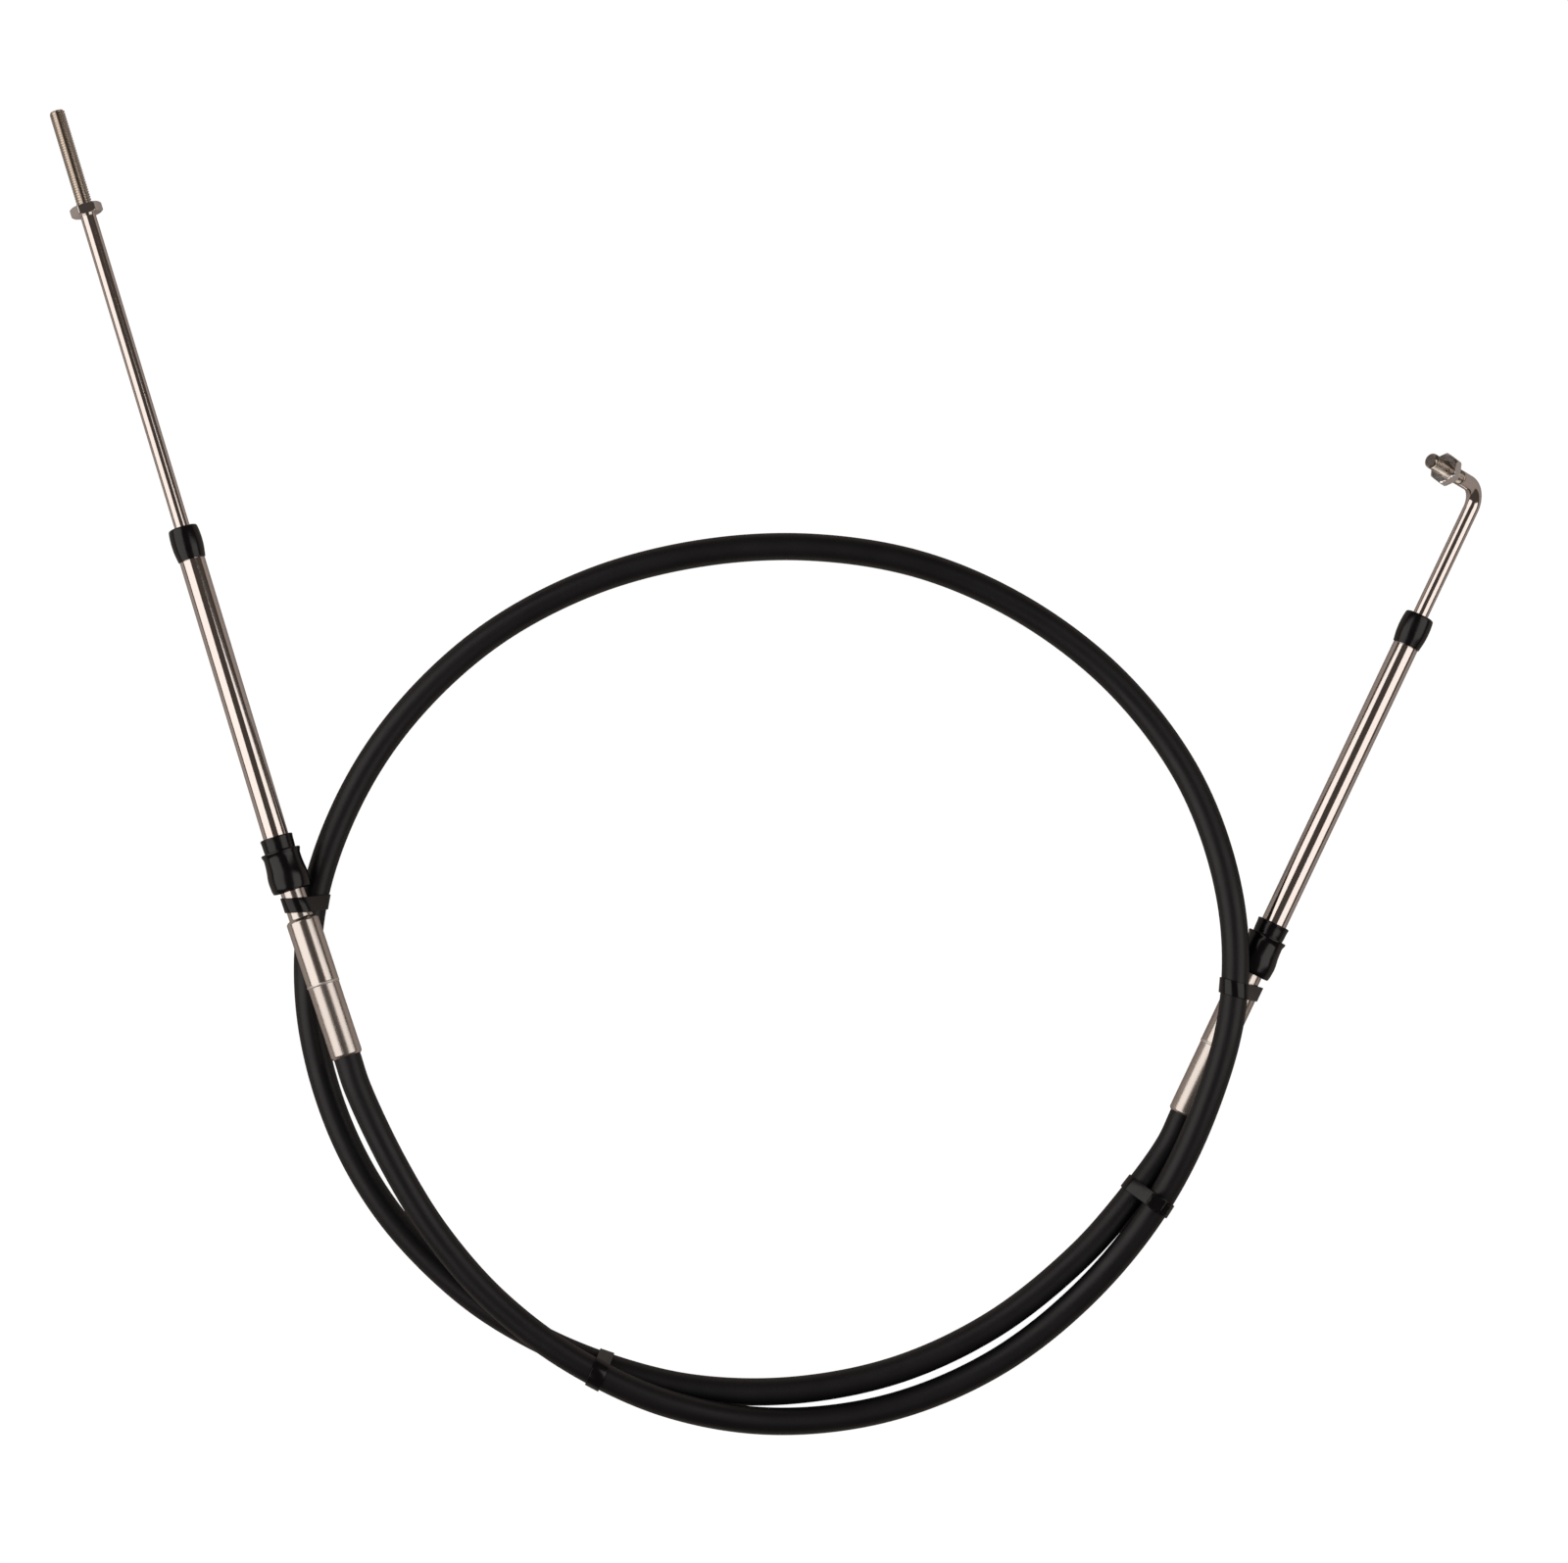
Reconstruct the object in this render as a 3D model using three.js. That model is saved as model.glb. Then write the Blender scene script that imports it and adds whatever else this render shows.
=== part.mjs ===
// Reverse cable: a push-pull control cable lying coiled one and a half turns,
// with a straight threaded rod on the left end and a bent rod on the right end.
// Units are millimetres, +Z is up and the floor is z = 0.
import * as THREE from 'three';

// Clearance between pieces that touch or slide on the real cable
const GAP = 0.3;
const ROUND = 40; // sides of the turned pieces

// Conduit
const CONDUIT_D = 8.5;
const CONDUIT_SIDES = 12;
const CONDUIT_STEPS = 80;

// Hub: the ferrule crimped on the conduit, with a slim neck that ends in a ball.
// Lengths on a fitting are measured along its axis from the centre of that ball.
const HUB_D = 10.2;
const HUB_LENGTH = 44.5;
const HUB_REAR_D = 9.9; // the crimped rear half is slightly slimmer
const HUB_CRIMP = 21; // from the shoulder to the crimp line
const HUB_CHAMFER = 0.7;
const NECK_D = 7.7;
const NECK_START = 3.0; // neck end, behind the ball centre
const NECK_LENGTH = 10;
const BALL_R = 2.6;
const STEM_R = 1.5;

// Support tube, a polished steel tube that swivels on the ball
const TUBE_D = 8.0;
const TUBE_WALL = 0.9;
const TUBE_START = -1.6;
const TUBE_LENGTH = 110.9;
const SPIGOT_D = 7.3; // turned down where the wiper seal grips it
const SPIGOT_LENGTH = 6.5;

// Wiper seal on the tube mouth
const WIPER_D = 9.8;
const WIPER_REAR_D = 8.7;
const WIPER_FRONT_D = 9.3;
const WIPER_LENGTH = 10.3;
const WIPER_ROUND = 0.8;

// Swivel boot: a collar that grips the tube and a loose skirt over the joint
const BOOT_LENGTH = 17.1;
const BOOT_COLLAR_D = 10.1;
const BOOT_COLLAR = 5.7;
const BOOT_LIP_D = 12.3;
const BOOT_WAIST_D = 11.5;
const BOOT_D = 12.7;
const BOOT_BULGE = 4.8; // from the foot to the widest part of the skirt
const BOOT_WALL = 0.95;
const BOOT_FOOT_R = 0.8;

// Rods and nuts: a number 10 fine thread
const ROD_D = 4.83;
const ROD_CHAMFER = 0.6;
const ROD_END = 63; // inner end of the left rod, inside the tube
const ROD_REACH = 248.7; // tip of the left rod
const NUT_ACROSS_FLATS = 8.8;
const NUT_THICK = 3.2;
const THREAD_LENGTH = 30.7; // tip to nut on the left rod
const BENT_ROD_END = 37;
const BENT_CORNER = 156.4; // where the axes of the bent rod and its leg meet
const BEND_RADIUS = 6.5;
const BEND_STEPS = 8;
const LEG_LENGTH = 28.2;
const LEG_NUT = 21; // corner to the outer face of the nut
const LEG_HEADING = 156.1;
const LEG_RISE = 46.3;
const LEG_NUT_ROLL = 15; // how far the nut is turned on the leg

// Where the two ends lie: ball centre, headings in degrees and falls in degrees
const LEFT = {
  ball: new THREE.Vector3(-146.78, -81.36, 14.84),
  tubeHeading: 107.1,
  tubeFall: 2.75,
  hubHeading: 108.5,
  hubFall: 2.75,
  bootStart: -3.7,
};
const RIGHT = {
  ball: new THREE.Vector3(153.5, -102.4, 6.5),
  tubeHeading: 64.5,
  tubeFall: 0.8,
  hubHeading: 64.8,
  hubFall: -0.9,
  bootStart: -9.2,
};

// Lay of the conduit round the middle of the coil: angle in degrees, radius and
// height. It runs over its own second turn, down to the floor, over the right
// hub and then under the left one.
const COIL_CENTRE = new THREE.Vector2(2, -113);
const LAY = [
  [-154, 129, 17.4],
  [-143, 129, 16.4],
  [-131, 130, 15.4],
  [-118, 131.5, 14.7],
  [-104, 134, 12.4],
  [-90, 136, 8],
  [-75, 137, 4.9],
  [-60, 137, 4.6],
  [-45, 136.5, 6.2],
  [-30, 137, 11],
  [-16, 138.5, 15],
  [-3, 141.5, 16.4],
  [10, 143, 14.2],
  [25, 143, 8.4],
  [40, 141, 5.1],
  [55, 138.5, 4.35],
  [70, 136.5, 4.35],
  [85, 134.5, 4.35],
  [100, 134, 4.35],
  [115, 135.5, 4.35],
  [130, 138, 4.35],
  [145, 140.5, 4.4],
  [158, 142.5, 4.8],
  [171, 144, 5.4],
  [184, 143.5, 4.8],
  [198, 141.5, 4.4],
  [211, 139, 4.4],
  [225, 135.5, 4.5],
  [236, 132.5, 4.9],
  [247, 130, 5.4],
  [259, 128.5, 4.9],
  [273, 127, 4.5],
  [288, 126.5, 4.5],
  [303, 126.5, 4.6],
  [318, 127.5, 5],
  [329, 129.6, 5.5],
];
const STRAIGHT_OUT = 10; // conduit held straight by each hub

// Cable ties
const TIE_WIDTH = 4.6;
const TIE_THICK = 0.8;
const TIE_GAP = 0.5;
const TIE_STEPS = 10; // flats on each of a strap's two arcs
const LEFT_TIE_AT = -8.5; // on the neck of the left hub
const RIGHT_TIE_AT = -15.0; // on the right hub, just behind its shoulder
const BOTTOM_TIE_ANGLE = -114;
const LOWER_RIGHT_TIE_ANGLE = -30;

const rad = THREE.MathUtils.degToRad;
const group = new THREE.Group();
group.name = 'reverse_cable';

function direction(heading, fall) {
  const level = Math.cos(rad(fall));
  return new THREE.Vector3(
    Math.cos(rad(heading)) * level,
    Math.sin(rad(heading)) * level,
    -Math.sin(rad(fall)),
  );
}

function add(name, geometry, color, roughness, metalness) {
  const material = new THREE.MeshStandardMaterial({ color, roughness, metalness });
  const mesh = new THREE.Mesh(geometry, material);
  mesh.name = name;
  group.add(mesh);
  return mesh;
}

const steel = (name, geometry) => add(name, geometry, 0xc9c2ba, 0.25, 1);
const rubber = (name, geometry) => add(name, geometry, 0x141416, 0.6, 0);
const nylon = (name, geometry) => add(name, geometry, 0x101012, 0.45, 0);

// Revolves a profile of [along, radius] points about the X axis. A profile that
// doesn't start and end on the axis is closed into a ring.
function turned(profile) {
  const points = profile.map(([x, r]) => new THREE.Vector2(r, x));
  const last = profile.length - 1;
  if (profile[0][1] > 0 || profile[last][1] > 0) points.push(points[0].clone());
  const geometry = new THREE.LatheGeometry(points, ROUND);
  geometry.rotateZ(-Math.PI / 2);
  return geometry;
}

// Stands a geometry made along +X on a point, facing a direction, with its own
// +Z turned as near as possible to world up.
function aim(geometry, origin, along, roll = 0) {
  const side = new THREE.Vector3(0, 0, 1).cross(along).normalize();
  const up = along.clone().cross(side);
  const matrix = new THREE.Matrix4().makeBasis(along, side, up).setPosition(origin);
  geometry.rotateX(rad(roll));
  geometry.applyMatrix4(matrix);
  return geometry;
}

// Centres of the rounding from one profile point to the next
function arc(x, r, radius, from, to, steps = 4) {
  const points = [];
  for (let i = 0; i <= steps; i += 1) {
    const angle = rad(from + ((to - from) * i) / steps);
    points.push([x + radius * Math.cos(angle), r + radius * Math.sin(angle)]);
  }
  return points;
}

function hubProfile() {
  const shoulder = -NECK_START - NECK_LENGTH;
  const rear = shoulder - HUB_LENGTH;
  const crimp = shoulder - HUB_CRIMP;
  const stemAngle = THREE.MathUtils.radToDeg(Math.asin(STEM_R / BALL_R));
  return [
    [rear, 0],
    [rear, HUB_REAR_D / 2 - HUB_CHAMFER],
    [rear + HUB_CHAMFER, HUB_REAR_D / 2],
    [crimp, HUB_REAR_D / 2],
    [crimp, HUB_D / 2],
    [shoulder - HUB_CHAMFER, HUB_D / 2],
    [shoulder, HUB_D / 2 - HUB_CHAMFER],
    [shoulder, NECK_D / 2],
    [-NECK_START - HUB_CHAMFER, NECK_D / 2],
    [-NECK_START, NECK_D / 2 - HUB_CHAMFER],
    [-NECK_START, STEM_R],
    ...arc(0, 0, BALL_R, 180 - stemAngle, 0, 8),
  ];
}

function tubeProfile() {
  const mouth = TUBE_START + TUBE_LENGTH;
  const spigot = mouth - SPIGOT_LENGTH;
  const bore = TUBE_D / 2 - TUBE_WALL;
  return [
    [TUBE_START, bore],
    [TUBE_START, TUBE_D / 2],
    [spigot, TUBE_D / 2],
    [spigot, SPIGOT_D / 2],
    [mouth, SPIGOT_D / 2],
    [mouth, bore],
  ];
}

const WIPER_START = TUBE_START + TUBE_LENGTH - SPIGOT_LENGTH + GAP;
const WIPER_END = WIPER_START + WIPER_LENGTH;

function wiperProfile() {
  const inside = SPIGOT_D / 2 + GAP;
  const seat = TUBE_START + TUBE_LENGTH + GAP;
  const front = WIPER_FRONT_D / 2 - WIPER_ROUND;
  return [
    [WIPER_START, inside],
    [WIPER_START, WIPER_REAR_D / 2],
    [WIPER_START + WIPER_LENGTH * 0.28, WIPER_D / 2 - 0.2],
    [WIPER_START + WIPER_LENGTH * 0.55, WIPER_D / 2],
    [WIPER_START + WIPER_LENGTH * 0.78, WIPER_D / 2 - 0.06],
    ...arc(WIPER_END - WIPER_ROUND, front, WIPER_ROUND, 90, 0),
    [WIPER_END, ROD_D / 2 + GAP],
    [seat, ROD_D / 2 + GAP],
    [seat, inside],
  ];
}

// The skirt starts at the foot, nearest the hub, and the collar ends the boot
function bootProfile(start) {
  const end = start + BOOT_LENGTH;
  const step = end - BOOT_COLLAR;
  const foot = BOOT_D / 2 - BOOT_FOOT_R;
  const inside = BOOT_D / 2 - BOOT_WALL;
  return [
    [start, inside],
    ...arc(start + BOOT_FOOT_R, foot, BOOT_FOOT_R, 180, 90),
    [start + BOOT_BULGE, BOOT_D / 2],
    [step - 3.2, BOOT_WAIST_D / 2],
    [step - 0.5, BOOT_LIP_D / 2],
    [step, BOOT_LIP_D / 2 - 0.4],
    [step, BOOT_COLLAR_D / 2 - 0.2],
    [end - 0.5, BOOT_COLLAR_D / 2],
    [end, BOOT_COLLAR_D / 2 - 0.4],
    [end, TUBE_D / 2 + GAP],
    [step - 1, TUBE_D / 2 + GAP],
    [step - 2.4, BOOT_WAIST_D / 2 - BOOT_WALL],
    [start + BOOT_BULGE, inside],
  ];
}

function rodProfile() {
  return [
    [ROD_END, 0],
    [ROD_END, ROD_D / 2],
    [ROD_REACH - ROD_CHAMFER, ROD_D / 2],
    [ROD_REACH, ROD_D / 2 - ROD_CHAMFER],
    [ROD_REACH, 0],
  ];
}

// Sweeps a round section through stations of a centre, a direction and a
// radius, and closes both ends flat.
function swept(stations, sides) {
  const positions = [];
  const index = [];
  let side = new THREE.Vector3(0, 0, 1).cross(stations[0].along).normalize();
  for (const { centre, along, radius } of stations) {
    side = side.clone().addScaledVector(along, -side.dot(along)).normalize();
    const up = along.clone().cross(side);
    for (let i = 0; i < sides; i += 1) {
      const angle = (2 * Math.PI * i) / sides;
      const point = centre
        .clone()
        .addScaledVector(side, radius * Math.cos(angle))
        .addScaledVector(up, radius * Math.sin(angle));
      positions.push(point.x, point.y, point.z);
    }
  }
  const rings = stations.length;
  for (let j = 0; j < rings - 1; j += 1) {
    for (let i = 0; i < sides; i += 1) {
      const a = j * sides + i;
      const b = j * sides + ((i + 1) % sides);
      index.push(a, b, b + sides, a, b + sides, a + sides);
    }
  }
  const first = positions.length / 3;
  const { centre: head } = stations[0];
  const { centre: tail } = stations[rings - 1];
  positions.push(head.x, head.y, head.z, tail.x, tail.y, tail.z);
  for (let i = 0; i < sides; i += 1) {
    const next = (i + 1) % sides;
    index.push(first, next, i);
    index.push(first + 1, (rings - 1) * sides + i, (rings - 1) * sides + next);
  }
  const geometry = new THREE.BufferGeometry();
  geometry.setAttribute('position', new THREE.Float32BufferAttribute(positions, 3));
  geometry.setIndex(index);
  geometry.computeVertexNormals();
  return geometry;
}

function bentRod(end) {
  const along = direction(end.tubeHeading, end.tubeFall);
  const leg = direction(LEG_HEADING, -LEG_RISE);
  const corner = end.ball.clone().addScaledVector(along, BENT_CORNER);
  const turn = along.angleTo(leg);
  const tangent = BEND_RADIUS * Math.tan(turn / 2);
  const inward = leg.clone().addScaledVector(along, -leg.dot(along)).normalize();
  const bendStart = corner.clone().addScaledVector(along, -tangent);
  const centre = bendStart.clone().addScaledVector(inward, BEND_RADIUS);
  const tip = corner.clone().addScaledVector(leg, LEG_LENGTH);
  const radius = ROD_D / 2;
  const stations = [
    { centre: end.ball.clone().addScaledVector(along, BENT_ROD_END), along, radius },
  ];
  for (let i = 0; i <= BEND_STEPS; i += 1) {
    const angle = (turn * i) / BEND_STEPS;
    const heading = along
      .clone()
      .multiplyScalar(Math.cos(angle))
      .addScaledVector(inward, Math.sin(angle));
    const outward = along
      .clone()
      .multiplyScalar(Math.sin(angle))
      .addScaledVector(inward, -Math.cos(angle));
    stations.push({
      centre: centre.clone().addScaledVector(outward, BEND_RADIUS),
      along: heading,
      radius,
    });
  }
  stations.push({
    centre: tip.clone().addScaledVector(leg, -ROD_CHAMFER),
    along: leg,
    radius,
  });
  stations.push({ centre: tip, along: leg, radius: radius - ROD_CHAMFER });
  return { geometry: swept(stations, 24), corner, leg };
}

// Hexagon with a flat on top, standing on its thickness along +X
function nut(faceAt) {
  const shape = new THREE.Shape();
  const corner = NUT_ACROSS_FLATS / Math.sqrt(3);
  for (let i = 0; i < 6; i += 1) {
    const angle = rad(60 * i);
    const [x, y] = [corner * Math.cos(angle), corner * Math.sin(angle)];
    if (i === 0) shape.moveTo(x, y);
    else shape.lineTo(x, y);
  }
  shape.closePath();
  const bore = new THREE.Path();
  bore.absarc(0, 0, ROD_D / 2 + GAP, 0, 2 * Math.PI, true);
  shape.holes.push(bore);
  const geometry = new THREE.ExtrudeGeometry(shape, {
    depth: NUT_THICK,
    bevelEnabled: false,
    curveSegments: 12,
  });
  geometry.rotateY(Math.PI / 2);
  geometry.rotateX(Math.PI / 2);
  geometry.translate(faceAt - NUT_THICK, 0, 0);
  return geometry;
}

// The two ends
const HUB_REAR = -NECK_START - NECK_LENGTH - HUB_LENGTH;

function fitting(side, end) {
  const hubAlong = direction(end.hubHeading, end.hubFall);
  const tubeAlong = direction(end.tubeHeading, end.tubeFall);
  steel(`${side}_hub`, aim(turned(hubProfile()), end.ball, hubAlong));
  steel(`${side}_support_tube`, aim(turned(tubeProfile()), end.ball, tubeAlong));
  rubber(`${side}_boot`, aim(turned(bootProfile(end.bootStart)), end.ball, tubeAlong));
  rubber(`${side}_wiper_seal`, aim(turned(wiperProfile()), end.ball, tubeAlong));
  return { hubAlong, tubeAlong };
}

const left = fitting('left', LEFT);
steel('left_rod', aim(turned(rodProfile()), LEFT.ball, left.tubeAlong));
steel('left_nut', aim(nut(ROD_REACH - THREAD_LENGTH), LEFT.ball, left.tubeAlong));

const right = fitting('right', RIGHT);
const bent = bentRod(RIGHT);
steel('right_rod', bent.geometry);
steel('right_nut', aim(nut(LEG_NUT), bent.corner, bent.leg, LEG_NUT_ROLL));

// The conduit
function layPoint([angle, radius, height]) {
  return new THREE.Vector3(
    COIL_CENTRE.x + radius * Math.cos(rad(angle)),
    COIL_CENTRE.y + radius * Math.sin(rad(angle)),
    height,
  );
}

function hubAxis(end, along, at) {
  return end.ball.clone().addScaledVector(along, at);
}

const CONDUIT_START = HUB_REAR - GAP;
const route = [
  hubAxis(LEFT, left.hubAlong, CONDUIT_START),
  hubAxis(LEFT, left.hubAlong, CONDUIT_START - STRAIGHT_OUT),
  ...LAY.map(layPoint),
  hubAxis(RIGHT, right.hubAlong, CONDUIT_START - STRAIGHT_OUT),
  hubAxis(RIGHT, right.hubAlong, CONDUIT_START),
];
const path = new THREE.CatmullRomCurve3(route, false, 'centripetal');

const section = new THREE.Shape();
for (let i = 0; i < CONDUIT_SIDES; i += 1) {
  const angle = (2 * Math.PI * (i + 0.5)) / CONDUIT_SIDES;
  const [x, y] = [(CONDUIT_D / 2) * Math.cos(angle), (CONDUIT_D / 2) * Math.sin(angle)];
  if (i === 0) section.moveTo(x, y);
  else section.lineTo(x, y);
}
section.closePath();
add(
  'conduit',
  new THREE.ExtrudeGeometry(section, { steps: CONDUIT_STEPS, extrudePath: path }),
  0x17161a,
  0.5,
  0,
);

// Cable ties: a strap pulled round two round runs that lie side by side or cross
function pathNear(turn) {
  // the point of the path where its unwound angle about the coil is nearest
  let best = null;
  let gap = Infinity;
  let unwound = null;
  const steps = 2000;
  for (let i = 0; i <= steps; i += 1) {
    const point = path.getPoint(i / steps);
    const angle = THREE.MathUtils.radToDeg(
      Math.atan2(point.y - COIL_CENTRE.y, point.x - COIL_CENTRE.x),
    );
    if (unwound === null) unwound = angle > 0 ? angle - 360 : angle;
    else unwound += THREE.MathUtils.euclideanModulo(angle - unwound + 180, 360) - 180;
    if (Math.abs(unwound - turn) < gap) {
      gap = Math.abs(unwound - turn);
      best = { point, along: path.getTangent(i / steps) };
    }
  }
  return best;
}

// Where a straight run meets the plane of the strap
function onPlane(run, origin, normal) {
  const distance = origin.clone().sub(run.point).dot(normal) / run.along.dot(normal);
  return run.point.clone().addScaledVector(run.along, distance);
}

// A strap pulled tight round two runs. At each place across its width it's the
// outline of the two ellipses that a level-backed plane cuts out of the runs, so
// it follows both where they cross at an angle.
function strap(name, first, second, origin) {
  const normal = first.along.clone();
  normal.addScaledVector(second.along, Math.sign(normal.dot(second.along)));
  normal.setZ(0).normalize();
  const across = new THREE.Vector3(0, 0, 1).cross(normal).normalize();
  const up = normal.clone().cross(across);
  const flat = (vector) => new THREE.Vector2(vector.dot(across), vector.dot(up));

  // The ellipse that a plane cuts out of a run, a little larger than the run
  const cut = (run, at, grow) => {
    const place = origin.clone().addScaledVector(normal, at);
    const centre = flat(onPlane(run, place, normal).sub(origin));
    const slope = flat(run.along).divideScalar(run.along.dot(normal));
    const radius = run.radius + grow;
    const reach = (out) => radius * Math.sqrt(1 + slope.dot(out) ** 2);
    return {
      centre,
      support: (out) => centre.dot(out) + reach(out),
      point: (out) => out
        .clone()
        .addScaledVector(slope, slope.dot(out))
        .multiplyScalar(radius ** 2 / reach(out))
        .add(centre),
    };
  };

  const ring = (at, grow) => {
    const a = cut(first, at, grow);
    const b = cut(second, at, grow);
    const toward = b.centre.clone().sub(a.centre).angle();
    const out = (angle) => new THREE.Vector2(
      Math.cos(toward + angle),
      Math.sin(toward + angle),
    );
    // the strap leaves a run where both reach equally far to the side
    const leave = (side) => {
      let [near, far] = [0, Math.PI];
      for (let i = 0; i < 40; i += 1) {
        const middle = (near + far) / 2;
        const way = out(side * middle);
        if (b.support(way) > a.support(way)) near = middle;
        else far = middle;
      }
      return near;
    };
    const [left, right] = [leave(1), leave(-1)];
    const points = [];
    for (let i = 0; i <= TIE_STEPS; i += 1) {
      points.push(b.point(out(-right + ((left + right) * i) / TIE_STEPS)));
    }
    const rest = 2 * Math.PI - left - right;
    for (let i = 0; i <= TIE_STEPS; i += 1) {
      points.push(a.point(out(left + (rest * i) / TIE_STEPS)));
    }
    return points.map(({ x, y }) => origin
      .clone()
      .addScaledVector(across, x)
      .addScaledVector(up, y)
      .addScaledVector(normal, at));
  };

  const half = TIE_WIDTH / 2;
  const rings = [
    ring(-half, TIE_GAP),
    ring(-half, TIE_GAP + TIE_THICK),
    ring(half, TIE_GAP + TIE_THICK),
    ring(half, TIE_GAP),
  ];
  nylon(name, looped(rings));
}

// Joins closed rings of points one to the next, and the last to the first
function looped(rings) {
  const count = rings[0].length;
  const positions = rings.flat().flatMap((point) => point.toArray());
  const index = [];
  rings.forEach((ring, j) => {
    const here = j * count;
    const there = ((j + 1) % rings.length) * count;
    for (let i = 0; i < count; i += 1) {
      const next = (i + 1) % count;
      index.push(here + i, here + next, there + next, here + i, there + next, there + i);
    }
  });
  const geometry = new THREE.BufferGeometry();
  geometry.setAttribute('position', new THREE.Float32BufferAttribute(positions, 3));
  geometry.setIndex(index);
  const faceted = geometry.toNonIndexed();
  faceted.computeVertexNormals();
  return faceted;
}

const leftNeck = {
  point: hubAxis(LEFT, left.hubAlong, LEFT_TIE_AT),
  along: left.hubAlong,
  radius: NECK_D / 2,
};
const rightHub = {
  point: hubAxis(RIGHT, right.hubAlong, RIGHT_TIE_AT),
  along: right.hubAlong,
  radius: HUB_D / 2,
};

function strand(turn) {
  return { ...pathNear(turn), radius: CONDUIT_D / 2 };
}

const angleOf = (point) => THREE.MathUtils.radToDeg(
  Math.atan2(point.y - COIL_CENTRE.y, point.x - COIL_CENTRE.x),
);

strap('left_tie', leftNeck, strand(angleOf(leftNeck.point)), leftNeck.point);
strap('upper_right_tie', rightHub, strand(angleOf(rightHub.point)), rightHub.point);
const bottom = strand(BOTTOM_TIE_ANGLE);
strap('bottom_tie', bottom, strand(BOTTOM_TIE_ANGLE + 360), bottom.point);
const lower = strand(LOWER_RIGHT_TIE_ANGLE);
strap('lower_right_tie', lower, strand(LOWER_RIGHT_TIE_ANGLE + 360), lower.point);

export default group;
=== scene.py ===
# %% [markdown]
# # A coiled push-pull control cable
# The object is a reverse cable from a boat or a machine: a black conduit coiled
# one and a half turns, with a steel fitting on each end. The CAD model is loaded
# first as a fixed frame, so every piece made here goes where that frame says.

# %% Load the frame
import math

import bmesh
import bpy
from mathutils import Matrix, Vector


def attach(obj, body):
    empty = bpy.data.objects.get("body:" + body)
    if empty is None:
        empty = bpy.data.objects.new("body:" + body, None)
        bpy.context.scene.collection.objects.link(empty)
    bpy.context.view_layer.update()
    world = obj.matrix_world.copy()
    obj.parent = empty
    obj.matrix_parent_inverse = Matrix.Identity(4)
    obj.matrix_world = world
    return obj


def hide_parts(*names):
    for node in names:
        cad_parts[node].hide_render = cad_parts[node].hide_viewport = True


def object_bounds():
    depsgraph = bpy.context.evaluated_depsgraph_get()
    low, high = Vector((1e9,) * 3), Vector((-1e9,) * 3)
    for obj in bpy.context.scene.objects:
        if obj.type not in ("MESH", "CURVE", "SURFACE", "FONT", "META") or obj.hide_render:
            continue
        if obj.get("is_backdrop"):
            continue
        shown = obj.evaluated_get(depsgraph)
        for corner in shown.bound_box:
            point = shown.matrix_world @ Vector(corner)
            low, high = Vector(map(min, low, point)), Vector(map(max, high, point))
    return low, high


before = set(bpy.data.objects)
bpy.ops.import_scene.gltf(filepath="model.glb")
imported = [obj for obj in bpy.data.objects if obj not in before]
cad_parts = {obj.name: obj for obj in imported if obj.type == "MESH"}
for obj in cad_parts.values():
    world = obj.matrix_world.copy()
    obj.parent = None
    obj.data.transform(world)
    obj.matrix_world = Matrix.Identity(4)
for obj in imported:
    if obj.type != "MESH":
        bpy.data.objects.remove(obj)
cad_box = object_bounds()
MM = 0.001

# %% [markdown]
# ## The camera
# The catalogue picture looks straight down, so the camera does too. A long lens
# from 1.6 m keeps the far ends of the fittings from leaning outwards.

# %% Camera
scene = bpy.context.scene
CAMERA_HEIGHT = 1.6
CAMERA_XY = (0.0055, -0.0515)
LENS = 118.4
SENSOR_WIDTH = 36

camera = bpy.data.objects.new("camera", bpy.data.cameras.new("camera"))
camera.data.lens = LENS
camera.data.sensor_width = SENSOR_WIDTH
camera.location = (*CAMERA_XY, CAMERA_HEIGHT)
scene.collection.objects.link(camera)
scene.camera = camera
print("camera looks straight down from", CAMERA_HEIGHT, "m")

# %% [markdown]
# ## The route of the conduit
# Each end fitting is described by the centre of its swivel ball and by the
# directions of its hub and its tube. The conduit leaves one hub and ends in the
# other, so the route is tied to both fittings.

# %% Where the two ends lie
def direction(heading, fall):
    """Unit vector of a level heading that falls by an angle, in degrees."""
    h, f = math.radians(heading), math.radians(fall)
    return Vector((math.cos(h) * math.cos(f), math.sin(h) * math.cos(f), -math.sin(f)))


LEFT = {
    "ball": Vector((-146.78, -81.36, 14.84)) * MM,
    "tube": direction(107.1, 2.75),
    "hub": direction(108.5, 2.75),
    "boot_start": -3.7,
}
RIGHT = {
    "ball": Vector((153.5, -102.4, 6.5)) * MM,
    "tube": direction(64.5, 0.8),
    "hub": direction(64.8, -0.9),
    "boot_start": -9.2,
}
HUB_REAR = -57.5
GAP = 0.3
STRAIGHT_OUT = 10
CONDUIT_D = 8.5
print("left ball", [round(c, 4) for c in LEFT["ball"]])

# %% [markdown]
# A real conduit is stiff, so it lies in wide even curves. It leaves the left
# hub, passes over its own second turn, comes down to the floor, humps over the
# right hub, goes round once more and ends in that hub. The stations are an
# angle round the middle of the coil, a radius and a height in millimetres.

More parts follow.
